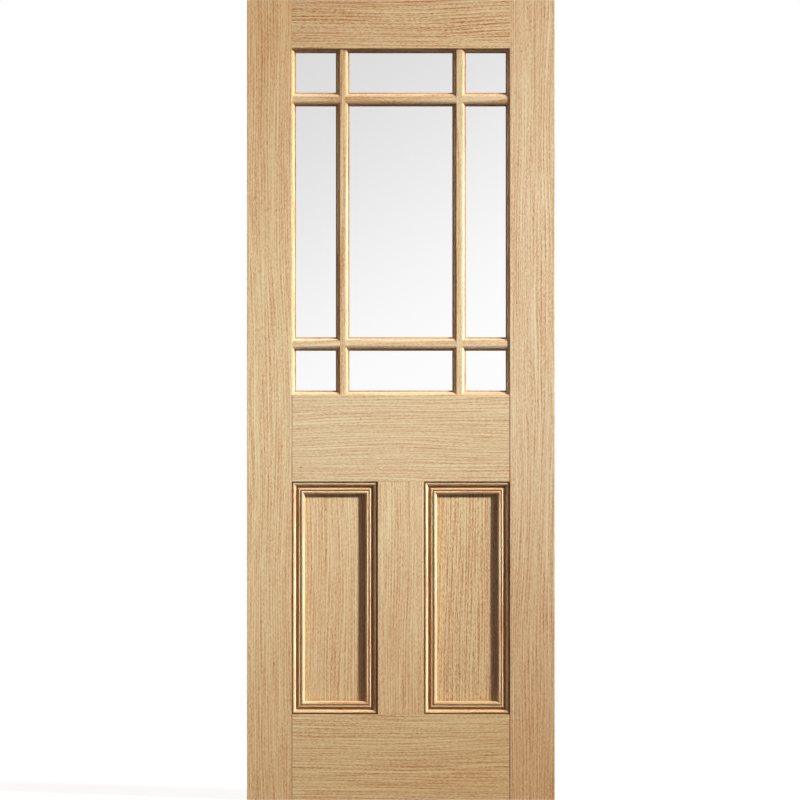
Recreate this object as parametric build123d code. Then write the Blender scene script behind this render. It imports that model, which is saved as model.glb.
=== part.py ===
from build123d import *
import os

# Overall leaf: a standard internal door, hung on its left edge
door_height = 1981.0
door_width = 762.0
door_thickness = 35.0

# Faces of the frame members
stile_width = 110.5
top_rail_height = 120.0
lock_rail_height = 215.0
bottom_rail_height = 212.0
panel_opening_height = 576.5
muntin_width = 114.0

# Solid lipping on the two long edges, inside the stile width
lipping_thickness = 8.0
arris_radius = 1.0

# Mortise and tenon joints of the frame
tenon_thickness = 12.0
tenon_inset = 30.0
tenon_length = 60.0
muntin_tenon_length = 35.0
mortise_end_clearance = 1.0
shoulder_gap_width = 1.5
shoulder_gap_depth = 2.5

# Glazing: ovolo sticking on the frame and bars, and the panes behind it
sticking_step = 2.75
sticking_fillet = 1.0
ovolo_radius = 7.0
ovolo_ledge = 3.5
bar_web = 12.5
margin_pane_width = 99.0
margin_pane_height = 98.5
glass_thickness = 4.0
glass_edge_clearance = 2.0
bar_tenon_thickness = 10.0
bar_tenon_length = 12.0

# Flat panels in their grooves
panel_thickness = 9.0
panel_entry = 8.0
groove_end_clearance = 1.0
groove_side_clearance = 0.1

# Panel moulding, with its heights above the panel
moulding_width = 32.3
moulding_height = 10.5
quirk_width = 3.2
quirk_height = 5.0
nose_radius = 1.3
crest_width = 0.4
outer_ovolo_radius = 5.2
outer_fillet = 1.3
hollow_depth = 1.1
bead_height = 7.9
bead_radius = 2.2
inner_quirk_width = 2.3
inner_quirk_height = 4.6
inner_nose_radius = 1.6
inner_crest_height = 9.0
inner_crest_width = 0.4
inner_ovolo_radius = 6.5

# Places that follow from the sizes above
half_thickness = door_thickness / 2
half_glass = glass_thickness / 2
half_panel = panel_thickness / 2
sticking_width = ovolo_radius + ovolo_ledge
bar_half_thickness = half_thickness - sticking_step
groove_depth = panel_entry + groove_end_clearance

left_shoulder = stile_width
right_shoulder = door_width - stile_width
door_middle = door_width / 2
muntin_left = door_middle - muntin_width / 2
muntin_right = door_middle + muntin_width / 2

lock_rail_bottom = bottom_rail_height + panel_opening_height
lock_rail_top = lock_rail_bottom + lock_rail_height
top_rail_bottom = door_height - top_rail_height

# The glazed opening is three panes wide and three high, from bar web to bar web
margin_column = margin_pane_width + 2 * sticking_width
margin_row = margin_pane_height + 2 * sticking_width
pane_columns = [
    (left_shoulder, left_shoulder + margin_column),
    (left_shoulder + margin_column + bar_web, right_shoulder - margin_column - bar_web),
    (right_shoulder - margin_column, right_shoulder),
]
pane_rows = [
    (lock_rail_top, lock_rail_top + margin_row),
    (lock_rail_top + margin_row + bar_web, top_rail_bottom - margin_row - bar_web),
    (top_rail_bottom - margin_row, top_rail_bottom),
]
column_names = ["left", "middle", "right"]
row_names = ["lower", "middle", "upper"]
sides = ["left", "right", "top", "bottom"]

panel_openings = {
    "left": (left_shoulder, muntin_left, bottom_rail_height, lock_rail_bottom),
    "right": (muntin_right, right_shoulder, bottom_rail_height, lock_rail_bottom),
}


def block(x_span, z_span, half_depth):
    """A board between two x and two z places, as deep before the middle plane as behind it."""
    width = x_span[1] - x_span[0]
    height = z_span[1] - z_span[0]
    return Pos(x_span[0], 0, z_span[0]) * Box(
        width, 2 * half_depth, height, align=(Align.MIN, Align.CENTER, Align.MIN)
    )


def side_of_opening(opening, side):
    """The plane of one side of an opening, X along it, Y inwards and Z to the front, and its length."""
    x0, x1, z0, z1 = opening
    corner, along, length = {
        "bottom": ((x0, 0, z0), (1, 0, 0), x1 - x0),
        "right": ((x1, 0, z0), (0, 0, 1), z1 - z0),
        "top": ((x1, 0, z1), (-1, 0, 0), x1 - x0),
        "left": ((x0, 0, z1), (0, 0, -1), z1 - z0),
    }[side]
    return Plane(corner, x_dir=along, z_dir=(0, -1, 0)), length


def mitred_length(section, width, opening, side):
    """One length of a moulding on a side of an opening, with both ends cut at 45 degrees."""
    plane, length = side_of_opening(opening, side)
    stick = extrude(Plane.YZ * section, length)
    mitres = Polyline((0, 0), (length, 0), (length - width, width), (width, width), close=True)
    return plane * (stick & extrude(make_face(mitres), door_thickness))


def sticking_section():
    """Ovolo with a ledge, from the glass up to the fillet that sinks it below the bars' faces."""
    ovolo_top = bar_half_thickness - sticking_fillet
    ledge_level = ovolo_top - ovolo_radius
    ovolo = CenterArc((0, ledge_level), ovolo_radius, 0, 90)
    rest = Polyline(
        (ovolo_radius, ledge_level),
        (sticking_width, ledge_level),
        (sticking_width, half_glass),
        (0, half_glass),
        (0, ovolo_top),
    )
    return make_face(ovolo.edges() + rest.edges())


def moulding_section():
    """Panel moulding: a quirk, an ovolo and its fillet, a hollow, a bead and an inner ovolo."""
    crest = half_panel + moulding_height
    quirk = half_panel + quirk_height
    bead_crest = half_panel + bead_height
    bead_level = bead_crest - bead_radius
    inner_quirk = half_panel + inner_quirk_height
    inner_crest = half_panel + inner_crest_height
    crest_start = quirk_width + nose_radius
    crest_end = crest_start + crest_width
    ovolo_end = crest_end + outer_ovolo_radius
    ovolo_foot = crest - outer_ovolo_radius
    hollow_level = ovolo_foot - outer_fillet
    inner_ovolo_start = moulding_width - inner_ovolo_radius
    inner_crest_start = inner_ovolo_start - inner_crest_width
    inner_nose = inner_crest_start - inner_nose_radius
    bead_end = inner_nose - inner_quirk_width
    bead_middle = bead_end - bead_radius
    bead_start = bead_middle - bead_radius
    inner_edge = inner_crest - inner_ovolo_radius
    outline = [
        Polyline((0, half_panel), (0, quirk), (quirk_width, quirk), (quirk_width, crest - nose_radius)),
        TangentArc((quirk_width, crest - nose_radius), (crest_start, crest), tangent=(0, 1)),
        Line((crest_start, crest), (crest_end, crest)),
        TangentArc((crest_end, crest), (ovolo_end, ovolo_foot), tangent=(1, 0)),
        Line((ovolo_end, ovolo_foot), (ovolo_end, hollow_level)),
        SagittaArc((ovolo_end, hollow_level), (bead_start, bead_level), -hollow_depth),
        ThreePointArc((bead_start, bead_level), (bead_middle, bead_crest), (bead_end, bead_level)),
        Polyline(
            (bead_end, bead_level),
            (bead_end, inner_quirk),
            (inner_nose, inner_quirk),
            (inner_nose, inner_crest - inner_nose_radius),
        ),
        TangentArc(
            (inner_nose, inner_crest - inner_nose_radius),
            (inner_crest_start, inner_crest),
            tangent=(0, 1),
        ),
        Line((inner_crest_start, inner_crest), (inner_ovolo_start, inner_crest)),
        TangentArc((inner_ovolo_start, inner_crest), (moulding_width, inner_edge), tangent=(1, 0)),
        Polyline((moulding_width, inner_edge), (moulding_width, half_panel), (0, half_panel)),
    ]
    return make_face([edge for piece in outline for edge in piece.edges()])


def pane_opening(column, row):
    """The space of one pane between the webs, stiles and rails around it."""
    return (*pane_columns[column], *pane_rows[row])


def sticking(side, columns, rows):
    """The ovolo lips on one side of each of the named panes."""
    section = sticking_section()
    return [
        mitred_length(section, sticking_width, pane_opening(column, row), side)
        for column in columns
        for row in rows
    ]


def panel_grooves():
    """The room that each panel takes up in the frame members around it."""
    return [
        block(
            (x0 - groove_depth, x1 + groove_depth),
            (z0 - groove_depth, z1 + groove_depth),
            half_panel + groove_side_clearance,
        )
        for x0, x1, z0, z1 in panel_openings.values()
    ]


def tenon_pair(z_span, gap):
    """The two end tenons of a rail, or with a gap the mortises that take them."""
    heights = (z_span[0] + tenon_inset, z_span[1] - tenon_inset)
    reach = tenon_length + gap
    return [
        block((left_shoulder - reach, left_shoulder), heights, tenon_thickness / 2),
        block((right_shoulder, right_shoulder + reach), heights, tenon_thickness / 2),
    ]


def muntin_tenons(gap):
    """The muntin's tenons, down into the bottom rail and up into the lock rail."""
    widths = (muntin_left + tenon_inset, muntin_right - tenon_inset)
    reach = muntin_tenon_length + gap
    return [
        block(widths, (bottom_rail_height - reach, bottom_rail_height), tenon_thickness / 2),
        block(widths, (lock_rail_bottom, lock_rail_bottom + reach), tenon_thickness / 2),
    ]


def bar_stub(x_span, z_span):
    """The stub tenon of a glazing bar, as wide as its web."""
    return block(x_span, z_span, bar_tenon_thickness / 2)


def bar_mortises():
    """The mortises for the bars' stub tenons in the stiles and the rails above and below."""
    reach = bar_tenon_length + mortise_end_clearance
    spaces = []
    for lower, upper in zip(pane_rows, pane_rows[1:]):
        web = (lower[1], upper[0])
        spaces.append(bar_stub((left_shoulder - reach, left_shoulder), web))
        spaces.append(bar_stub((right_shoulder, right_shoulder + reach), web))
    for before, after in zip(pane_columns, pane_columns[1:]):
        web = (before[1], after[0])
        spaces.append(bar_stub(web, (lock_rail_top - reach, lock_rail_top)))
        spaces.append(bar_stub(web, (top_rail_bottom, top_rail_bottom + reach)))
    return spaces


bottom_rail_span = (0, bottom_rail_height)
lock_rail_span = (lock_rail_bottom, lock_rail_top)
top_rail_span = (top_rail_bottom, door_height)


def stile(x_span, glass_side, column):
    """A stile from top to bottom, with its lips beside the panes and its mortises and grooves."""
    board = block(x_span, (0, door_height), half_thickness)
    mortises = [
        space
        for z_span in (bottom_rail_span, lock_rail_span, top_rail_span)
        for space in tenon_pair(z_span, mortise_end_clearance)
    ]
    rows = range(len(pane_rows))
    return board - mortises - bar_mortises() - panel_grooves() + sticking(glass_side, [column], rows)


def rail(z_span, open_shoulders):
    """A rail with its two tenons; open shoulders leave a fine shadow gap at the stiles on both faces."""
    if not open_shoulders:
        return block((left_shoulder, right_shoulder), z_span, half_thickness) + tenon_pair(z_span, 0)
    core = block((left_shoulder, right_shoulder), z_span, half_thickness - shoulder_gap_depth)
    faces = block(
        (left_shoulder + shoulder_gap_width, right_shoulder - shoulder_gap_width), z_span, half_thickness
    )
    return core + faces + tenon_pair(z_span, 0)


def upright_bar(index):
    """A glazing bar from lock rail to top rail, cut away behind where the cross bars pass."""
    web = (pane_columns[index][1], pane_columns[index + 1][0])
    bar = block(web, (lock_rail_top, top_rail_bottom), bar_half_thickness)
    bar += bar_stub(web, (lock_rail_top - bar_tenon_length, lock_rail_top))
    bar += bar_stub(web, (top_rail_bottom, top_rail_bottom + bar_tenon_length))
    for lower, upper in zip(pane_rows, pane_rows[1:]):
        bar -= Pos(0, bar_half_thickness, 0) * block(web, (lower[1], upper[0]), bar_half_thickness)
    rows = range(len(pane_rows))
    return bar + sticking("right", [index], rows) + sticking("left", [index + 1], rows)


def cross_bar(index):
    """A glazing bar from stile to stile, cut away in front where the upright bars pass."""
    web = (pane_rows[index][1], pane_rows[index + 1][0])
    bar = block((left_shoulder, right_shoulder), web, bar_half_thickness)
    bar += bar_stub((left_shoulder - bar_tenon_length, left_shoulder), web)
    bar += bar_stub((right_shoulder, right_shoulder + bar_tenon_length), web)
    for before, after in zip(pane_columns, pane_columns[1:]):
        bar -= Pos(0, -bar_half_thickness, 0) * block((before[1], after[0]), web, bar_half_thickness)
    columns = range(len(pane_columns))
    return bar + sticking("top", columns, [index]) + sticking("bottom", columns, [index + 1])


def edge_lipping(x_outer, x_inner):
    """A solid strip on the long edge of the leaf, with its two outer arrises rounded."""
    strip = block((min(x_outer, x_inner), max(x_outer, x_inner)), (0, door_height), half_thickness)
    arrises = strip.edges().filter_by(Axis.Z).filter_by_position(Axis.X, x_outer, x_outer)
    return fillet(arrises, arris_radius)


def glass_pane(column, row):
    """A flat pane, set back a little from the wood on its four edges."""
    x0, x1, z0, z1 = pane_opening(column, row)
    return block(
        (x0 + glass_edge_clearance, x1 - glass_edge_clearance),
        (z0 + glass_edge_clearance, z1 - glass_edge_clearance),
        half_glass,
    )


def back_beads(side):
    """The loose glazing beads on one side of every pane, behind the glass."""
    lips = sticking(side, range(len(pane_columns)), range(len(pane_rows)))
    return Compound([mirror(lip, about=Plane.XZ) for lip in lips])


def panel(opening):
    """A flat panel that stands in its grooves with a little room at each edge."""
    x0, x1, z0, z1 = opening
    return block(
        (x0 - panel_entry, x1 + panel_entry), (z0 - panel_entry, z1 + panel_entry), half_panel
    )


# The frame: two stiles, three rails and the muntin between the panels
nodes = {}
last_column = len(pane_columns) - 1
last_row = len(pane_rows) - 1
every_column = range(len(pane_columns))
nodes["left_stile"] = stile((lipping_thickness, left_shoulder), "left", 0)
nodes["right_stile"] = stile((right_shoulder, door_width - lipping_thickness), "right", last_column)
nodes["left_edge_lipping"] = edge_lipping(0, lipping_thickness)
nodes["right_edge_lipping"] = edge_lipping(door_width, door_width - lipping_thickness)
nodes["top_rail"] = rail(top_rail_span, False) - bar_mortises() + sticking("top", every_column, [last_row])
lock_rail = rail(lock_rail_span, True) - bar_mortises() - panel_grooves()
lock_rail -= muntin_tenons(mortise_end_clearance)
nodes["lock_rail"] = lock_rail + sticking("bottom", every_column, [0])
bottom_rail = rail(bottom_rail_span, True) - panel_grooves()
nodes["bottom_rail"] = bottom_rail - muntin_tenons(mortise_end_clearance)
muntin = block((muntin_left, muntin_right), (bottom_rail_height, lock_rail_bottom), half_thickness)
nodes["muntin"] = muntin - panel_grooves() + muntin_tenons(0)

# The glazing: bars halved together at their crossings, panes, and beads behind the panes
nodes["left_upright_bar"] = upright_bar(0)
nodes["right_upright_bar"] = upright_bar(1)
nodes["lower_cross_bar"] = cross_bar(0)
nodes["upper_cross_bar"] = cross_bar(1)
for column, column_name in enumerate(column_names):
    for row, row_name in enumerate(row_names):
        nodes[f"pane_{row_name}_{column_name}"] = glass_pane(column, row)
for side in sides:
    nodes[f"glazing_beads_{side}"] = back_beads(side)

# The panels, each with four mitred mouldings on its front and four on its back
panel_moulding = moulding_section()
for name, opening in panel_openings.items():
    nodes[f"{name}_panel"] = panel(opening)
    for side in sides:
        front = mitred_length(panel_moulding, moulding_width, opening, side)
        nodes[f"{name}_panel_front_moulding_{side}"] = front
        nodes[f"{name}_panel_back_moulding_{side}"] = mirror(front, about=Plane.XZ)

os.makedirs("parts", exist_ok=True)
for name, shape in nodes.items():
    export_step(shape, f"parts/{name}.step")
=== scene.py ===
import math
import random

import bmesh
import bpy
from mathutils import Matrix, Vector


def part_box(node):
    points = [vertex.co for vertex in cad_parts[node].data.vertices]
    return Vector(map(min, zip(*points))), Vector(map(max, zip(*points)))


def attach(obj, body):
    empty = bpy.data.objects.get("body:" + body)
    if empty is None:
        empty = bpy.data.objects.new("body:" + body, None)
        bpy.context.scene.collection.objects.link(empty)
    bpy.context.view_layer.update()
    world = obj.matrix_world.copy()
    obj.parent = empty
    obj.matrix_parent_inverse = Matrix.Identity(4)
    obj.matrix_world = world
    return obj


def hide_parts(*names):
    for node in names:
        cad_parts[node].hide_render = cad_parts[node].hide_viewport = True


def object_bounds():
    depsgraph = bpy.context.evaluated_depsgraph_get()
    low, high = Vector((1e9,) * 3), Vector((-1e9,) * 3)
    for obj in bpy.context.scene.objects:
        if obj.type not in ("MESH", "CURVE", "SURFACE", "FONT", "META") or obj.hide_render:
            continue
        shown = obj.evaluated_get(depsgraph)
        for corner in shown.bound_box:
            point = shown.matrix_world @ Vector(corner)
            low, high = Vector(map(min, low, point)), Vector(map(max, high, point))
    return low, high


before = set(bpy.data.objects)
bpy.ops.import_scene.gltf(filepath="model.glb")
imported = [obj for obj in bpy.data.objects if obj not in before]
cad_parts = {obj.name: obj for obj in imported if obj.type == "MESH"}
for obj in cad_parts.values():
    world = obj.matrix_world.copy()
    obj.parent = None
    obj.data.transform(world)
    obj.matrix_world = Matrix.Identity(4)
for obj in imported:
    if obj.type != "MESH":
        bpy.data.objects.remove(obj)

cad_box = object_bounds()


# The two stiles are oak boards on edge, from top to bottom of the leaf. Beside the glass an ovolo
# is worked on their inner front edge, a little below the face of the frame, in mitred
# lengths from bar to bar. The rails are tenoned into them.
def linear(code):
    """An sRGB hex colour as linear red, green, blue and alpha."""
    channels = [int(code[i : i + 2], 16) / 255 for i in (1, 3, 5)]
    return [c / 12.92 if c <= 0.04045 else ((c + 0.055) / 1.055) ** 2.4 for c in channels] + [1.0]


def add(tree, kind, inputs=None, output=0, **settings):
    """Adds a node with its settings, sets or links its inputs, and gives back one of its outputs."""
    made = tree.nodes.new(kind)
    for name, value in settings.items():
        setattr(made, name, value)
    for name, value in (inputs or {}).items():
        if isinstance(value, bpy.types.NodeSocket):
            tree.links.new(value, made.inputs[name])
        else:
            made.inputs[name].default_value = value
    return made.outputs[output] if made.outputs else None


def empty_tree(owner):
    """The node tree of a material or a world, with no node in it yet."""
    owner.use_nodes = True
    owner.node_tree.nodes.clear()
    return owner.node_tree


# Oak, planed and sealed with a matt lacquer. It is straw-coloured with fine broken streaks along
# the grain, orange-brown dashes where pores are cut open, faint arches of the growth rings and a
# few pin knots, and hardly any shine. The pattern is solid, so a board's faces and ends agree.
mm = 0.001
brown_oak = linear("#B87A49")
straw_oak = linear("#E0C89F")
pale_oak = linear("#E8DAB3")

oak = bpy.data.materials.new("lacquered_oak")
tree = empty_tree(oak)
grain = add(tree, "ShaderNodeAttribute", output="Vector", attribute_name="grain")
parts = add(tree, "ShaderNodeSeparateXYZ", {0: grain}).node.outputs

# The trunk swayed as it grew, so the grain runs in slow waves with ripples on them: the length, the
# width and the height of each in mm
bent = parts["Y"]
for length, width, rise in ((700, 130, 42), (180, 26, 4)):
    scale = (1 / (length * mm), 1 / (width * mm), 1 / (width * mm))
    place = add(tree, "ShaderNodeMapping", {"Vector": grain, "Scale": scale})
    wave = add(tree, "ShaderNodeTexNoise", {"Vector": place, "Scale": 1.0, "Detail": 1})
    lift = add(tree, "ShaderNodeMath", {0: wave, 1: 0.5}, operation="SUBTRACT")
    bent = add(tree, "ShaderNodeMath", {0: lift, 1: rise * mm, 2: bent}, operation="MULTIPLY_ADD")
wavy_grain = add(tree, "ShaderNodeCombineXYZ", {"X": parts["X"], "Y": bent, "Z": parts["Z"]})

# Each noise by the length and the width of its marks in mm, and its detail. Pores and fibres are
# really finer than a pixel of the render, so their marks are drawn about 1.5 mm wide. All are
# turned about the grain, so that no face of a board lies along the noise's own lattice.
lattice_turn = (0.6, 0, 0)
marks = {
    "drift": (700, 40, 1),
    "patch": (420, 30, 1),
    "line": (400, 2.2, 0),
    "fibre": (140, 1.5, 1),
    "fleck": (7, 1.4, 0),
    "pore": (14, 1.4, 0),
    "cloud": (200, 22, 2),
}
noise = {}
for name, (length, width, detail) in marks.items():
    scale = (1 / (length * mm), 1 / (width * mm), 1 / (width * mm))
    turned = {"Vector": wavy_grain, "Rotation": lattice_turn, "Scale": scale}
    place = add(tree, "ShaderNodeMapping", turned)
    inputs = {"Vector": place, "Scale": 1.0, "Detail": detail, "Roughness": 0.5}
    spread = add(tree, "ShaderNodeTexNoise", inputs)
    noise[name] = add(tree, "ShaderNodeMath", {0: spread, 1: 0.5}, operation="SUBTRACT")

# Growth rings: distance from the pith across the wavy grain, counted in ring widths. The trunk
# tapers, and the rings wander by about one width. The pores crowd in the spring wood.
ring_width = 7.4 * mm
ring_taper = 0.012
ring_wander = 1.2
from_pith = add(tree, "ShaderNodeCombineXYZ", {"Y": bent, "Z": parts["Z"]})
radius = add(tree, "ShaderNodeVectorMath", {0: from_pith}, output="Value", operation="LENGTH")
cone = add(tree, "ShaderNodeMath", {0: parts["X"], 1: ring_taper, 2: radius}, operation="MULTIPLY_ADD")
count = add(tree, "ShaderNodeMath", {0: cone, 1: ring_width}, operation="DIVIDE")
wander = {0: noise["drift"], 1: ring_wander, 2: count}
years = add(tree, "ShaderNodeMath", wander, operation="MULTIPLY_ADD")
season = add(tree, "ShaderNodeMath", {0: years}, operation="FRACT")
spring_range = {"Value": season, "From Min": 0.05, "From Max": 0.6, "To Min": 1.0, "To Max": 0.0}
spring = add(tree, "ShaderNodeMapRange", spring_range)
patches = add(tree, "ShaderNodeMapRange", {"Value": noise["patch"], "From Min": -0.3, "From Max": 0.1})
rings = add(tree, "ShaderNodeMath", {0: spring, 1: patches}, operation="MULTIPLY")
dashes = add(tree, "ShaderNodeMapRange", {"Value": noise["pore"], "From Min": 0.08, "From Max": 0.2})
lines = add(tree, "ShaderNodeMapRange", {"Value": noise["line"], "From Min": 0.12, "From Max": 0.24})
crowding = add(tree, "ShaderNodeMath", {0: rings, 1: 0.6, 2: 0.4}, operation="MULTIPLY_ADD")
pores = add(tree, "ShaderNodeMath", {0: dashes, 1: crowding}, operation="MULTIPLY")

# Brown, straw and pale oak lie along one scale from 0 to 1. The streaks, rings and pores move each
# point to and fro on it, more boldly on some boards than on others, and end grain is browner.
usual_place = 0.73
straw_place = 0.71
end_grain_shift = -0.3
boldness = add(tree, "ShaderNodeAttribute", output="Alpha", attribute_name="tone")
end_grain = add(tree, "ShaderNodeAttribute", output="Fac", attribute_name="end_grain")
strokes = 0.0
for mark, share in (
    (noise["fibre"], 1.3),
    (noise["fleck"], 1.05),
    (noise["cloud"], 0.2),
    (lines, 0.45),
    (rings, -0.36),
    (pores, -0.25),
):
    strokes = add(tree, "ShaderNodeMath", {0: mark, 1: share, 2: strokes}, operation="MULTIPLY_ADD")
place = add(tree, "ShaderNodeMath", {0: strokes, 1: boldness, 2: usual_place}, operation="MULTIPLY_ADD")
shift = {0: end_grain, 1: end_grain_shift, 2: place}
place = add(tree, "ShaderNodeMath", shift, operation="MULTIPLY_ADD")
ramp = add(tree, "ShaderNodeValToRGB", {0: place})
ramp.node.color_ramp.elements[0].color = brown_oak
ramp.node.color_ramp.elements[1].color = pale_oak
ramp.node.color_ramp.elements.new(straw_place).color = straw_oak

# Pin knots, about 3 mm across, wherever a bud was near the face
knot_brown = linear("#7A4E2C")
knot_strength = 0.8
knot_spacing = 60 * mm
knot_radius = 1.6 * mm
knot_inputs = {"Vector": grain, "Scale": 1 / knot_spacing}
knots = add(tree, "ShaderNodeTexVoronoi", knot_inputs, output="Distance")
core, rim = 0.5 * knot_radius / knot_spacing, 1.5 * knot_radius / knot_spacing
knot_range = {"Value": knots, "From Min": core, "From Max": rim, "To Min": knot_strength, "To Max": 0.0}
knot = add(tree, "ShaderNodeMapRange", knot_range)
colour = add(tree, "ShaderNodeMix", {0: knot, 6: ramp, 7: knot_brown}, output=2, data_type="RGBA")

# Each board has its own tone. In the quirks, hollows, shoulder gaps, along the glass and around the
# panels the colour is painted darker and redder as painted shade. Some crests are painted paler as a
# painted highlight: there the value is below zero.
painted_light_tint = linear("#D2B292")
tint = {"output": 2, "data_type": "RGBA", "blend_type": "MULTIPLY", "clamp_factor": False}
tone = add(tree, "ShaderNodeAttribute", output="Color", attribute_name="tone")
colour = add(tree, "ShaderNodeMix", {0: 1.0, 6: colour, 7: tone}, **tint)
painted_light = add(tree, "ShaderNodeAttribute", output="Fac", attribute_name="painted_light")
colour = add(tree, "ShaderNodeMix", {0: painted_light, 6: colour, 7: painted_light_tint}, **tint)

# The lacquer lies thin, so the open pores are a little rougher and can just be felt
lacquer_roughness = 0.42
pore_roughness = 0.15
relief_depth = 0.1 * mm
relief_strength = 0.02
height = add(tree, "ShaderNodeMath", {0: pores, 1: -1.0, 2: noise["fibre"]}, operation="MULTIPLY_ADD")
bumps = {"Strength": relief_strength, "Distance": relief_depth, "Height": height}
relief = add(tree, "ShaderNodeBump", bumps)
rougher = {0: pores, 1: pore_roughness, 2: lacquer_roughness}
roughness = add(tree, "ShaderNodeMath", rougher, operation="MULTIPLY_ADD")
lacquer = {"Base Color": colour, "Roughness": roughness, "Normal": relief, "Specular IOR Level": 0.3}
surface = add(tree, "ShaderNodeBsdfPrincipled", lacquer)
add(tree, "ShaderNodeOutputMaterial", {"Surface": surface})

sticking_step = 2.75 * mm
sticking_fillet = 1.0 * mm
ovolo_radius = 7.0 * mm
ovolo_ledge = 3.5 * mm
sticking_width = ovolo_radius + ovolo_ledge
glass_clearance = 2.0 * mm
glass_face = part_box("pane_middle_middle")[1].y
frame_face = cad_box[1].y
bar_face = frame_face - sticking_step
left_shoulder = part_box("glazing_beads_bottom")[0].x
right_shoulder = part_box("glazing_beads_bottom")[1].x
glazing_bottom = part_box("glazing_beads_left")[0].z
glazing_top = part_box("glazing_beads_left")[1].z
column_names = ["left", "middle", "right"]
row_names = ["lower", "middle", "upper"]
columns = range(len(column_names))
rows = range(len(row_names))
arc_step = 9
sharp_angle = 1.5 * arc_step
usual_arris = 0.4 * mm
stile_arris = 0.15 * mm


def pane_opening(column, row):
    """The space around a pane as (left, right, bottom, top), from web to web."""
    low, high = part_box(f"pane_{row_names[row]}_{column_names[column]}")
    c = glass_clearance
    return low.x - c, high.x + c, low.z - c, high.z + c


def arc(centre, radius, start, end):
    """Points along an arc from one angle to the other, in degrees, with both ends."""
    steps = math.ceil(abs(end - start) / arc_step)
    turns = [math.radians(start + (end - start) * i / steps) for i in range(steps + 1)]
    return [(centre[0] + radius * math.cos(a), centre[1] + radius * math.sin(a)) for a in turns]


def sticking_section():
    """The ovolo and its ledge: distances in from the wood's edge and out from the leaf's middle, and
    how much painted shade each point carries: the ledge by the glass is painted darker.
    """
    # The ledge by the glass is painted darker and redder as painted shade
    plain, painted_shade = 0.0, 0.6
    ledge_level = bar_face - sticking_fillet - ovolo_radius
    ovolo = arc((0, ledge_level), ovolo_radius, 90, 0)[:-1]
    ledge = [(ovolo_radius, ledge_level), (sticking_width, ledge_level)]
    ledge += [(sticking_width, glass_face), (0, glass_face)]
    members = [(ovolo, plain), (ledge, painted_shade)]
    return [(u, h, painted_light) for points, painted_light in members for u, h in points]


def new_wood():
    """An empty mesh that carries the grain of the boards drawn in it."""
    bm = bmesh.new()
    bm.verts.layers.float_vector.new("grain")
    bm.verts.layers.float_color.new("tone")
    bm.verts.layers.float.new("painted_light")
    bm.faces.layers.float.new("end_grain")
    return bm


def board(bm, low, high, eased=(), arris=usual_arris):
    """A sawn board between two corners; eased names the arrises to round, each by its two faces."""
    sides = [("left", "right"), ("front", "back"), ("bottom", "top")]
    verts = bmesh.ops.create_cube(bm, size=2.0)["verts"]
    places = {v: {sides[i][v.co[i] > 0] for i in range(3)} for v in verts}
    for v in verts:
        v.co = Vector([high[i] if v.co[i] > 0 else low[i] for i in range(3)])
    wanted = [set(pair) for pair in eased]
    edges = {e for v in verts for e in v.link_edges}
    edges = [e for e in edges if places[e.verts[0]] & places[e.verts[1]] in wanted]
    edges.sort(key=lambda e: tuple(e.verts[0].co + e.verts[1].co))
    if edges:
        bmesh.ops.bevel(bm, geom=edges, offset=arris, segments=2, profile=0.5, affect="EDGES")


def mitred_length(bm, section, opening, side, back=False):
    """A moulding on one side of an opening, in front or behind, with both ends cut at 45 degrees."""
    x0, x1, z0, z1 = opening
    start, way, inward, length = {
        "bottom": ((x0, 0, z0), (1, 0, 0), (0, 0, 1), x1 - x0),
        "top": ((x0, 0, z1), (1, 0, 0), (0, 0, -1), x1 - x0),
        "left": ((x0, 0, z0), (0, 0, 1), (1, 0, 0), z1 - z0),
        "right": ((x1, 0, z0), (0, 0, 1), (-1, 0, 0), z1 - z0),
    }[side]
    start, way, inward = Vector(start), Vector(way), Vector(inward)
    outward = Vector((0, 1, 0)) if back else Vector((0, -1, 0))
    ends = [[], []]
    for u, h, painted_light in section:
        base = start + inward * u + outward * h
        for end, along in zip(ends, (u, length - u)):
            end.append(bm.verts.new(base + way * along))
            end[-1][bm.verts.layers.float["painted_light"]] = painted_light
    faces = [bm.faces.new(ends[0]), bm.faces.new(ends[1])]
    for i in range(len(section)):
        faces.append(bm.faces.new((ends[0][i - 1], ends[0][i], ends[1][i], ends[1][i - 1])))
    bmesh.ops.recalc_face_normals(bm, faces=faces)


figure = random.Random(7)


def lay_grain(bm, way, pith, tone=(1, 1, 1), bold=1.0, first=0):
    """Lays the grain of all vertices from number first on along X or Z, with rings around the pith.

    The pith is placed across and behind the middle of the piece, and each board starts at its own
    place in the pattern. Tone is the board's own tint, and bold how strong its figure is.
    """
    bm.normal_update()
    bm.verts.ensure_lookup_table()
    verts = bm.verts[first:]
    a, b = (2, 0) if way == "Z" else (0, 2)
    middle = (min(v.co[b] for v in verts) + max(v.co[b] for v in verts)) / 2
    shift = figure.uniform(2, 12)
    grain_layer = bm.verts.layers.float_vector["grain"]
    tone_layer = bm.verts.layers.float_color["tone"]
    end_layer = bm.faces.layers.float["end_grain"]
    for v in verts:
        v[grain_layer] = Vector((v.co[a] + shift, v.co[b] - middle - pith[0], v.co.y - pith[1]))
        v[tone_layer] = (*tone, bold)
        for f in v.link_faces:
            f[end_layer] = float(abs(f.normal[a]) > 0.95)


def finish_wood(bm, name, slot, *nodes):
    """Makes the piece, shades it with sharp arrises and soft curves, and sets it in the frame."""
    mesh = bpy.data.meshes.new(name)
    bm.to_mesh(mesh)
    bm.free()
    mesh.polygons.foreach_set("use_smooth", [True] * len(mesh.polygons))
    mesh.set_sharp_from_angle(angle=math.radians(sharp_angle))
    mesh.materials.append(oak)
    piece = bpy.data.objects.new(name, mesh)
    bpy.context.scene.collection.objects.link(piece)
    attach(piece, "root")
    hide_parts(*nodes)


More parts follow.
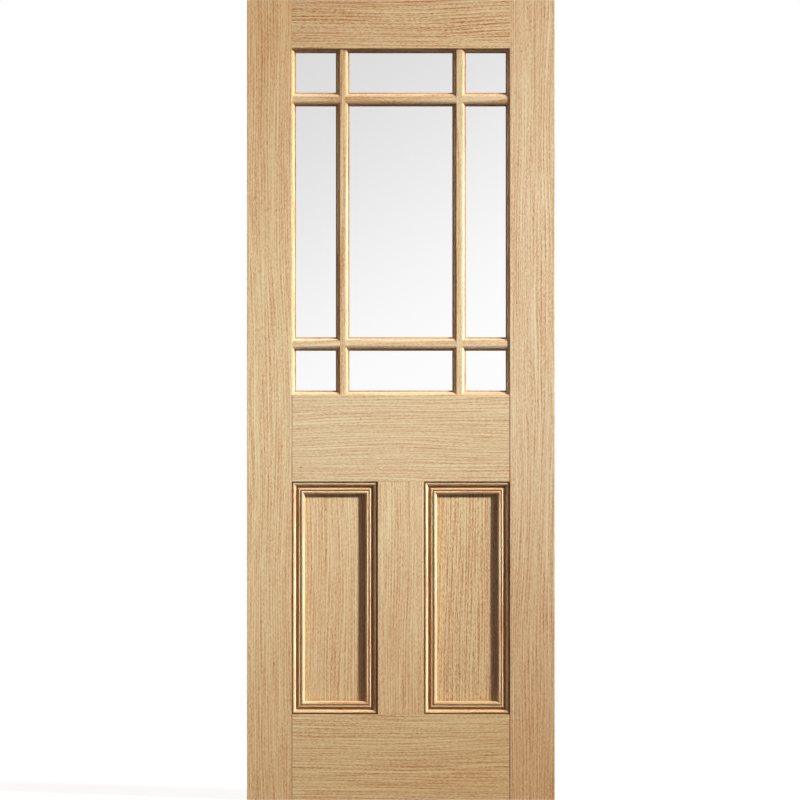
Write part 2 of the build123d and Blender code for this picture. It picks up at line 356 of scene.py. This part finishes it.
def stile(name, x0, x1, glass_side, column, pith, tone):
    """One stile with its three lengths of ovolo."""
    bm = new_wood()
    inner = "right" if glass_side == "left" else "left"
    eased = [("front", inner), ("back", inner)]
    low = (x0, -frame_face, cad_box[0].z)
    high = (x1, frame_face, cad_box[1].z)
    board(bm, low, high, eased, stile_arris)
    for row in rows:
        mitred_length(bm, sticking_section(), pane_opening(column, row), glass_side)
    lay_grain(bm, "Z", pith, tone)
    finish_wood(bm, f"oak_{name}", "oak_frame", name)


left_lipping_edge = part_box("left_edge_lipping")[1].x
right_lipping_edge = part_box("right_edge_lipping")[0].x
left_tone = (1.015, 1.0, 0.935)
right_tone = (0.985, 0.985, 0.985)
stile("left_stile", left_lipping_edge, left_shoulder, "left", 0, (-600 * mm, 55 * mm), left_tone)
stile("right_stile", right_shoulder, right_lipping_edge, "right", 2, (480 * mm, 40 * mm), right_tone)


# The long edges are lipped with a solid oak strip, glued on flush with the faces, so that
# the edge can be planed to fit the lining. Its outer arrises are rounded over.
lipping_arris = 0.6 * mm
for outer, tone in (("left", left_tone), ("right", right_tone)):
    bm = new_wood()
    name = f"{outer}_edge_lipping"
    low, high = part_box(name)
    board(bm, low, high, [("front", outer), ("back", outer)], lipping_arris)
    lay_grain(bm, "Z", (70 * mm, 30 * mm), tone)
    finish_wood(bm, f"oak_{name}", "oak_lipping", name)


# Three oak rails lie between the stiles, tenoned and glued. The top and lock rails carry the ovolo above
# and below the glass. The faces of the lock and bottom rails stop just short of their shoulders, which
# leaves a fine shadow gap at the stiles, whose floor is painted dark as painted shade.
shoulder_gap_width = 1.5 * mm
shoulder_gap_depth = 2.5 * mm
shoulder_gap_painted_shade = 1.0


def rail(name, span, gap, open_edges, glass, pith, tone, bold=1.0):
    """One rail between its shoulders, with its three lengths of ovolo where it borders the glass."""
    bm = new_wood()
    if gap:
        core = frame_face - shoulder_gap_depth
        for x in (left_shoulder, right_shoulder - gap):
            board(bm, (x, -core, span[0]), (x + gap, core, span[1]))
        # The floor of the gap is painted dark as painted shade
        for v in bm.verts:
            v[bm.verts.layers.float["painted_light"]] = shoulder_gap_painted_shade
    eased = [(face, edge) for face in ("front", "back") for edge in open_edges]
    low = (left_shoulder + gap, -frame_face, span[0])
    high = (right_shoulder - gap, frame_face, span[1])
    board(bm, low, high, eased)
    if glass:
        side, row = glass
        for column in columns:
            mitred_length(bm, sticking_section(), pane_opening(column, row), side)
    lay_grain(bm, "X", pith, tone, bold)
    finish_wood(bm, f"oak_{name}", "oak_frame", name)


top_span = (glazing_top, cad_box[1].z)
lock_span = (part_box("lock_rail")[0].z, glazing_bottom)
bottom_span = (cad_box[0].z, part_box("bottom_rail")[1].z)
top_tone = (0.965, 0.96, 0.93)
lock_tone = (0.995, 1.01, 0.995)
bottom_tone = (1.005, 1.035, 0.975)
top_pith = (300 * mm, 60 * mm)
lock_pith = (340 * mm, 50 * mm)
bottom_pith = (-420 * mm, 70 * mm)
gap = shoulder_gap_width
rail("top_rail", top_span, 0, ["bottom"], ("top", 2), top_pith, top_tone, bold=1.48)
rail("lock_rail", lock_span, gap, ["top", "bottom"], ("bottom", 0), lock_pith, lock_tone, bold=0.82)
rail("bottom_rail", bottom_span, gap, ["top"], None, bottom_pith, bottom_tone, bold=1.1)


# The oak muntin stands between the lock and bottom rails and parts the two panels. Its ends
# butt the rails with no eased shoulder, so only the turn of the grain shows the joint.
panel_names = ["left", "right"]


def panel_opening(name):
    """The opening of a panel between the frame members, as (left, right, bottom, top)."""
    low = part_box(f"{name}_panel_front_moulding_left")[0]
    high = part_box(f"{name}_panel_front_moulding_right")[1]
    return low.x, high.x, low.z, high.z


muntin_low = (panel_opening("left")[1], -frame_face, bottom_span[1])
muntin_high = (panel_opening("right")[0], frame_face, lock_span[0])
muntin_tone = (1.045, 1.045, 1.005)
bm = new_wood()
board(bm, muntin_low, muntin_high, [(f, s) for f in ("front", "back") for s in ("left", "right")])
lay_grain(bm, "Z", (380 * mm, 65 * mm), muntin_tone)
finish_wood(bm, "oak_muntin", "oak_frame", "muntin")


# The two panels are flat oak boards that stand loose in grooves of the frame, so that they can swell and
# shrink across the grain without splitting. Around their edge, where the moulding meets them, the colour
# is painted darker as painted shade, fading out over a few mm.
moulding_width = 32.3 * mm
painted_shade_width = 9.0 * mm
panel_edge_painted_shade = 0.45
panel_pith = {"left": (-260 * mm, 60 * mm), "right": (310 * mm, 75 * mm)}
panel_tone = {"left": (1.02, 1.0, 0.94), "right": (1.02, 1.035, 0.985)}
panel_bold = {"left": 1.0, "right": 1.3}
for name in panel_names:
    bm = new_wood()
    low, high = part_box(f"{name}_panel")
    board(bm, low, high)
    bm.normal_update()
    faces = [f for f in bm.faces if abs(f.normal.y) > 0.9]
    groove = panel_opening(name)[0] - low.x
    # The strip of panel next to the moulding is painted darker as painted shade, fading to nothing
    # further in
    for inset, painted_light in ((groove + moulding_width, panel_edge_painted_shade), (painted_shade_width, 0.0)):
        bmesh.ops.inset_individual(bm, faces=faces, thickness=inset, use_even_offset=True)
        for v in {v for f in faces for v in f.verts}:
            v[bm.verts.layers.float["painted_light"]] = painted_light
    lay_grain(bm, "Z", panel_pith[name], panel_tone[name], panel_bold[name])
    finish_wood(bm, f"oak_{name}_panel", "oak_panel", f"{name}_panel")


# An oak moulding is planted around each panel on both faces, mitred at the corners and held
# to the frame. From the frame inwards it has a sunk quirk, an ovolo with a fillet, a broad
# hollow, a bead and an inner ovolo.
def hollow(start, end, depth):
    """Points along an arc that sinks a given depth below the line between two points."""
    start, end = Vector(start), Vector(end)
    chord = end - start
    radius = (chord.length**2 / 4 + depth**2) / (2 * depth)
    upwards = Vector((-chord.y, chord.x)).normalized()
    centre = (start + end) / 2 + upwards * (radius - depth)
    turns = [math.degrees(math.atan2(p.y - centre.y, p.x - centre.x)) for p in (start, end)]
    return arc(centre, radius, *turns)


def moulding_section():
    """The moulding's outline, as distances in from the frame and out from the leaf's middle, and
    how much painted shade, or painted highlight below zero, each point carries.
    """
    # The quirks and most of the hollow are painted darker as painted shade; the outer ovolo and the
    # inner nose paler as a painted highlight
    painted_shade, plain, painted_highlight = 1.15, 0.0, -0.3
    panel_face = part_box("left_panel")[1].y
    width = moulding_width
    crest = panel_face + 10.5 * mm
    flat = 0.4 * mm
    quirk_width = 3.2 * mm
    quirk_level = panel_face + 5.0 * mm
    nose = 1.3 * mm
    crest_start = quirk_width + nose
    crest_end = crest_start + flat
    ovolo = 5.2 * mm
    ovolo_end = crest_end + ovolo
    fillet = 1.3 * mm
    hollow_level = crest - ovolo - fillet
    hollow_depth = 1.1 * mm
    inner_ovolo = 6.5 * mm
    inner_crest = panel_face + 9.0 * mm
    inner_quirk_level = panel_face + 4.6 * mm
    inner_start = width - inner_ovolo
    inner_nose = 1.6 * mm
    inner_crest_start = inner_start - flat
    inner_edge = inner_crest_start - inner_nose
    inner_quirk_width = 2.3 * mm
    bead = 2.2 * mm
    bead_top = panel_face + 7.9 * mm
    bead_level = bead_top - bead
    bead_end = inner_edge - inner_quirk_width
    bead_middle = bead_end - bead
    bead_start = bead_middle - bead
    # In the hollow the painted shade starts just inside the fillet
    dip = hollow((ovolo_end, hollow_level), (bead_start, bead_level), hollow_depth)
    members = [
        ([(0, panel_face), (0, quirk_level), (quirk_width, quirk_level)], painted_shade),
        (arc((crest_start, crest - nose), nose, 180, 90), plain),
        (arc((crest_end, crest - ovolo), ovolo, 90, 0), painted_highlight),
        (dip[:2], plain),
        (dip[2:], painted_shade),
        (arc((bead_middle, bead_level), bead, 180, 0)[1:], plain),
        ([(bead_end, inner_quirk_level), (inner_edge, inner_quirk_level)], painted_shade),
        (arc((inner_crest_start, inner_crest - inner_nose), inner_nose, 180, 90), painted_highlight),
        (arc((inner_start, inner_crest - inner_ovolo), inner_ovolo, 90, 0), plain),
        ([(width, panel_face)], plain),
    ]
    return [(u, h, painted_light) for points, painted_light in members for u, h in points]


for name in panel_names:
    for face in ("front", "back"):
        for side in ("left", "right", "top", "bottom"):
            bm = new_wood()
            mitred_length(bm, moulding_section(), panel_opening(name), side, face == "back")
            way = "Z" if side in ("left", "right") else "X"
            pith = (figure.uniform(-60, 60) * mm, figure.uniform(30, 80) * mm)
            lay_grain(bm, way, pith)
            node = f"{name}_panel_{face}_moulding_{side}"
            finish_wood(bm, f"oak_{node}", "oak_moulding", node)


# Four oak glazing bars divide the glass into nine panes. Each has a plain web with an ovolo on
# both sides in front, and the webs are halved together where they cross: the upright
# bars run through in front, the cross bars behind.
bar_pith_depth = 45 * mm
upright_webs = [(pane_opening(i, 0)[1], pane_opening(i + 1, 0)[0]) for i in columns[:-1]]
cross_webs = [(pane_opening(0, i)[3], pane_opening(0, i + 1)[2]) for i in rows[:-1]]

bar_tone = {"left_upright_bar": (0.95, 0.92, 0.86), "right_upright_bar": (1.0, 1.0, 0.98)}
for column, name in enumerate(bar_tone):
    bm = new_wood()
    x0, x1 = upright_webs[column]
    for row in rows:
        opening = pane_opening(column, row)
        board(bm, (x0, -bar_face, opening[2]), (x1, bar_face, opening[3]))
        mitred_length(bm, sticking_section(), opening, "right")
        mitred_length(bm, sticking_section(), pane_opening(column + 1, row), "left")
    for z0, z1 in cross_webs:
        board(bm, (x0, -bar_face, z0), (x1, 0, z1))
    lay_grain(bm, "Z", (figure.uniform(-40, 40) * mm, bar_pith_depth), bar_tone[name])
    finish_wood(bm, f"oak_{name}", "oak_bar", name)

for row, name in enumerate(("lower_cross_bar", "upper_cross_bar")):
    bm = new_wood()
    z0, z1 = cross_webs[row]
    for column in columns:
        opening = pane_opening(column, row)
        board(bm, (opening[0], -bar_face, z0), (opening[1], bar_face, z1))
        mitred_length(bm, sticking_section(), opening, "top")
        mitred_length(bm, sticking_section(), pane_opening(column, row + 1), "bottom")
    for x0, x1 in upright_webs:
        board(bm, (x0, 0, z0), (x1, bar_face, z1))
    lay_grain(bm, "X", (figure.uniform(-40, 40) * mm, bar_pith_depth))
    finish_wood(bm, f"oak_{name}", "oak_bar", name)


# The panes are 4 mm float glass, bedded against the ovolo from behind. The glass is all but
# colourless, its fire-finished faces are smooth, and lamps shine through it.
glass = bpy.data.materials.new("clear_float_glass")
tree = empty_tree(glass)
sheet = {"Base Color": linear("#FFFFFF"), "Roughness": 0.0, "IOR": 1.52, "Transmission Weight": 1.0}
float_glass = add(tree, "ShaderNodeBsdfPrincipled", sheet)
clear = add(tree, "ShaderNodeBsdfTransparent", {"Color": linear("#F2F6F4")})
lamp_ray = add(tree, "ShaderNodeLightPath", output="Is Shadow Ray")
either = add(tree, "ShaderNodeMixShader", {0: lamp_ray, 1: float_glass, 2: clear})
add(tree, "ShaderNodeOutputMaterial", {"Surface": either})
for column_name in column_names:
    for row_name in row_names:
        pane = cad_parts[f"pane_{row_name}_{column_name}"]
        pane.data.materials.clear()
        pane.data.materials.append(glass)


# Loose oak beads hold the glass from behind, four mitred lengths to a pane, pinned to the bars
# and frame, with the same ovolo as the front. Each is cut from a strip with its own grain.
bead_pith_depth = 40 * mm
for side in ("left", "right", "top", "bottom"):
    bm = new_wood()
    for column in columns:
        for row in rows:
            first = len(bm.verts)
            mitred_length(bm, sticking_section(), pane_opening(column, row), side, back=True)
            way = "Z" if side in ("left", "right") else "X"
            lay_grain(bm, way, (figure.uniform(-60, 60) * mm, bead_pith_depth), first=first)
    node = f"glazing_beads_{side}"
    finish_wood(bm, f"oak_{node}", "oak_bead", node)


# The studio is white: a pale floor that takes the leaf's shadow, and an even white surround. Only rays
# through the glass see the surround darker towards the upper left, a painted shade in the panes. To
# light off the wood the floor is dark and the surround a dim warm fill, so shadows stay deep.
def stage_piece(bm, name, material):
    """Makes a piece of the studio, which is no part of the leaf."""
    mesh = bpy.data.meshes.new(name)
    bm.to_mesh(mesh)
    bm.free()
    mesh.materials.append(material)
    piece = bpy.data.objects.new(name, mesh)
    bpy.context.scene.collection.objects.link(piece)
    return piece


def looked_at(tree):
    """1 where the camera looks, directly, in a mirror or through glass, and 0 for light off the wood."""
    path = add(tree, "ShaderNodeLightPath").node.outputs
    look = path["Is Camera Ray"]
    for way in ("Is Glossy Ray", "Is Transmission Ray"):
        look = add(tree, "ShaderNodeMath", {0: look, 1: path[way]}, operation="MAXIMUM")
    fresh = add(tree, "ShaderNodeMath", {0: path["Diffuse Depth"], 1: 0.5}, operation="LESS_THAN")
    return add(tree, "ShaderNodeMath", {0: look, 1: fresh}, operation="MULTIPLY")


middle = (cad_box[0] + cad_box[1]) / 2
floor_half_width = 40.0
floor_glow = 0.86
shadow_reach, white_reach = 1.0, 3.0
floor_paint = bpy.data.materials.new("white_studio_floor")
tree = empty_tree(floor_paint)
paint = add(tree, "ShaderNodeBsdfDiffuse", {"Color": linear("#707070")})
glow = add(tree, "ShaderNodeEmission", {"Strength": floor_glow})
near = add(tree, "ShaderNodeAddShader", {0: paint, 1: glow})
white = add(tree, "ShaderNodeEmission", {"Strength": 1.0})
spot = add(tree, "ShaderNodeTexCoord", output="Object")
away = add(tree, "ShaderNodeVectorMath", {0: spot}, output="Value", operation="LENGTH")
reach = {"Value": away, "From Min": shadow_reach, "From Max": white_reach}
far = add(tree, "ShaderNodeMapRange", reach)
pale = add(tree, "ShaderNodeMixShader", {0: far, 1: near, 2: white})
dark = add(tree, "ShaderNodeBsdfDiffuse", {"Color": linear("#404040")})
shown = add(tree, "ShaderNodeMixShader", {0: looked_at(tree), 1: dark, 2: pale})
add(tree, "ShaderNodeOutputMaterial", {"Surface": shown})
bm = bmesh.new()
bmesh.ops.create_grid(bm, x_segments=1, y_segments=1, size=floor_half_width)
floor = stage_piece(bm, "studio_floor", floor_paint)
floor.location = (middle.x, 0, cad_box[0].z)

ambient = 0.162
ambient_tint = linear("#FFC8BC")
faded, full = 0.70, 0.975
fade_lean = 0.6
fade_start, fade_end = -0.09, 0.005
world = bpy.data.worlds.new("white_studio")
bpy.context.scene.world = world
tree = empty_tree(world)
heading = add(tree, "ShaderNodeTexCoord", output="Generated")
parts = add(tree, "ShaderNodeSeparateXYZ", {0: heading}).node.outputs
lean = add(tree, "ShaderNodeMath", {0: parts["X"], 1: fade_lean}, operation="MULTIPLY")
slope = add(tree, "ShaderNodeMath", {0: lean, 1: parts["Z"]}, operation="SUBTRACT")
fade = {"Value": slope, "From Min": fade_start, "From Max": fade_end, "To Min": faded, "To Max": full}
glass_painted_shade = add(tree, "ShaderNodeMapRange", fade, interpolation_type="SMOOTHSTEP")
glass_ray = add(tree, "ShaderNodeLightPath", output="Is Transmission Ray")
level = add(tree, "ShaderNodeMix", {0: glass_ray, 2: 1.0, 3: glass_painted_shade}, data_type="FLOAT")
surround = add(tree, "ShaderNodeBackground", {"Color": linear("#FFFFFF"), "Strength": level})
fill = add(tree, "ShaderNodeBackground", {"Color": ambient_tint, "Strength": ambient})
air = add(tree, "ShaderNodeMixShader", {0: looked_at(tree), 1: fill, 2: surround})
add(tree, "ShaderNodeOutputWorld", {"Surface": air})


# Two far lamps in one place rake across the face from the upper right, so that every quirk and
# bead throws a shadow: a broad warm one, and a cooler spot that lifts the middle of the
# leaf to white light. A third lights the back. Each is given by its kind, colour, watts,
# radius in metres, direction and cone in degrees.
rake = Vector((2.42, -1.0, 1.31)).normalized()
behind = Vector((-0.6, 1.0, 0.6)).normalized()
lamps = {
    "key_lamp": ("POINT", "#FFE6CB", 25400, 1.4, rake, 0.0),
    "pool_lamp": ("SPOT", "#C8E4FF", 26900, 0.5, rake, 5.8),
    "back_lamp": ("POINT", "#FFF3E6", 14500, 1.4, behind, 0.0),
}
lamp_distance = 20.0
aim_height = 1.12
aim = Vector((middle.x, 0, aim_height))
for name, (kind, colour, power, radius, way, cone) in lamps.items():
    lamp = bpy.data.lights.new(name, kind)
    lamp.color = linear(colour)[:3]
    lamp.energy = power
    lamp.shadow_soft_size = radius
    if kind == "SPOT":
        lamp.spot_size = math.radians(cone)
        lamp.spot_blend = 1.0
    holder = bpy.data.objects.new(name, lamp)
    holder.location = aim + way * lamp_distance
    holder.rotation_euler = (-way).to_track_quat("-Z", "Y").to_euler()
    bpy.context.scene.collection.objects.link(holder)

# They strike the right edge and the top more squarely than the face. A strip of gauze scrim close to
# each takes them down there to about the level of the face. The one over the top reaches far enough
# back to dim the back lamp too. Only the lamps see them.
scrim_distance = 15 * mm
scrim_margin = 2.5 * mm
back_reach = 25 * mm
gauze = bpy.data.materials.new("grey_gauze")
tree = empty_tree(gauze)
veil = add(tree, "ShaderNodeBsdfTransparent", {"Color": linear("#B3B3B3")})
add(tree, "ShaderNodeOutputMaterial", {"Surface": veil})
low, high = cad_box
beside = rake * (scrim_distance / rake.x)
above = rake * (scrim_distance / rake.z)
front, back = low.y + scrim_margin, high.y + scrim_margin
bm = bmesh.new()
x = high.x + beside.x
y0, y1 = front + beside.y, back + beside.y
z0, z1 = low.z, high.z + beside.z
bm.faces.new([bm.verts.new(p) for p in ((x, y0, z0), (x, y1, z0), (x, y1, z1), (x, y0, z1))])
x0, x1 = low.x - scrim_distance, high.x + above.x
y0, y1 = front + above.y, high.y + back_reach - scrim_margin
z = high.z + above.z
bm.faces.new([bm.verts.new(p) for p in ((x0, y0, z), (x1, y0, z), (x1, y1, z), (x0, y1, z))])
scrim = stage_piece(bm, "edge_scrim", gauze)
for ray in ("camera", "diffuse", "glossy", "transmission"):
    setattr(scrim, f"visible_{ray}", False)


# The camera stands square to the face at half height, far enough back that nothing
# of the edges shows, and the leaf fills the picture from top to bottom, a little right of
# the middle.
camera_distance = 12.0
camera_offset = 2.1 * mm
sensor = 36.0
leaf_height = cad_box[1].z - cad_box[0].z
camera_data = bpy.data.cameras.new("camera")
camera_data.sensor_width = sensor
camera_data.lens = sensor * camera_distance / leaf_height
camera = bpy.data.objects.new("camera", camera_data)
camera.location = (middle.x - camera_offset, -frame_face - camera_distance, middle.z)
camera.rotation_euler = (math.radians(90), 0, 0)
bpy.context.scene.collection.objects.link(camera)
bpy.context.scene.camera = camera
bpy.context.scene.view_settings.view_transform = "Standard"
